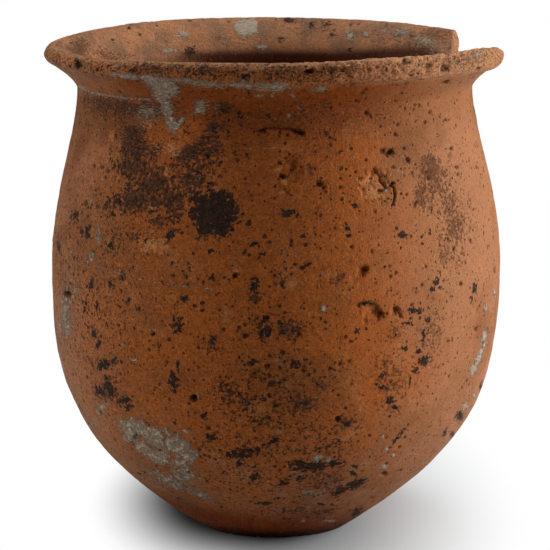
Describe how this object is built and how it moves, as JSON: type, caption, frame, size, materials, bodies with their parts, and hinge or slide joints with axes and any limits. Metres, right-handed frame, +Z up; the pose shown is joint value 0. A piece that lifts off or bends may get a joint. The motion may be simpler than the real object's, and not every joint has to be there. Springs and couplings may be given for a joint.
{
  "type": "jar",
  "caption": "Round-bellied hand-built terracotta jar with a small flat foot, short neck and flared lip, part of the lip broken away, for holding food or water.",
  "frame": {"origin": "centre of the jar's flat underside, on the floor it stands on", "axes": "+Z up along the jar's axis, -Y to the side facing the viewer, +X to the viewer's right"},
  "size_m": [0.1502, 0.1502, 0.1615],
  "materials": {
    "terracotta": "unglazed, matt and weathered, with soot stains and lime crust"
  },
  "bodies": {
    "root": {"base_slab": "terracotta", "foot_coil": "terracotta", "lower_wall_coil": "terracotta", "lower_belly_coil": "terracotta", "upper_belly_coil": "terracotta", "lower_shoulder_coil": "terracotta", "upper_shoulder_coil": "terracotta", "neck_coil": "terracotta", "rim_coil": "terracotta"}
  },
  "joints": []
}
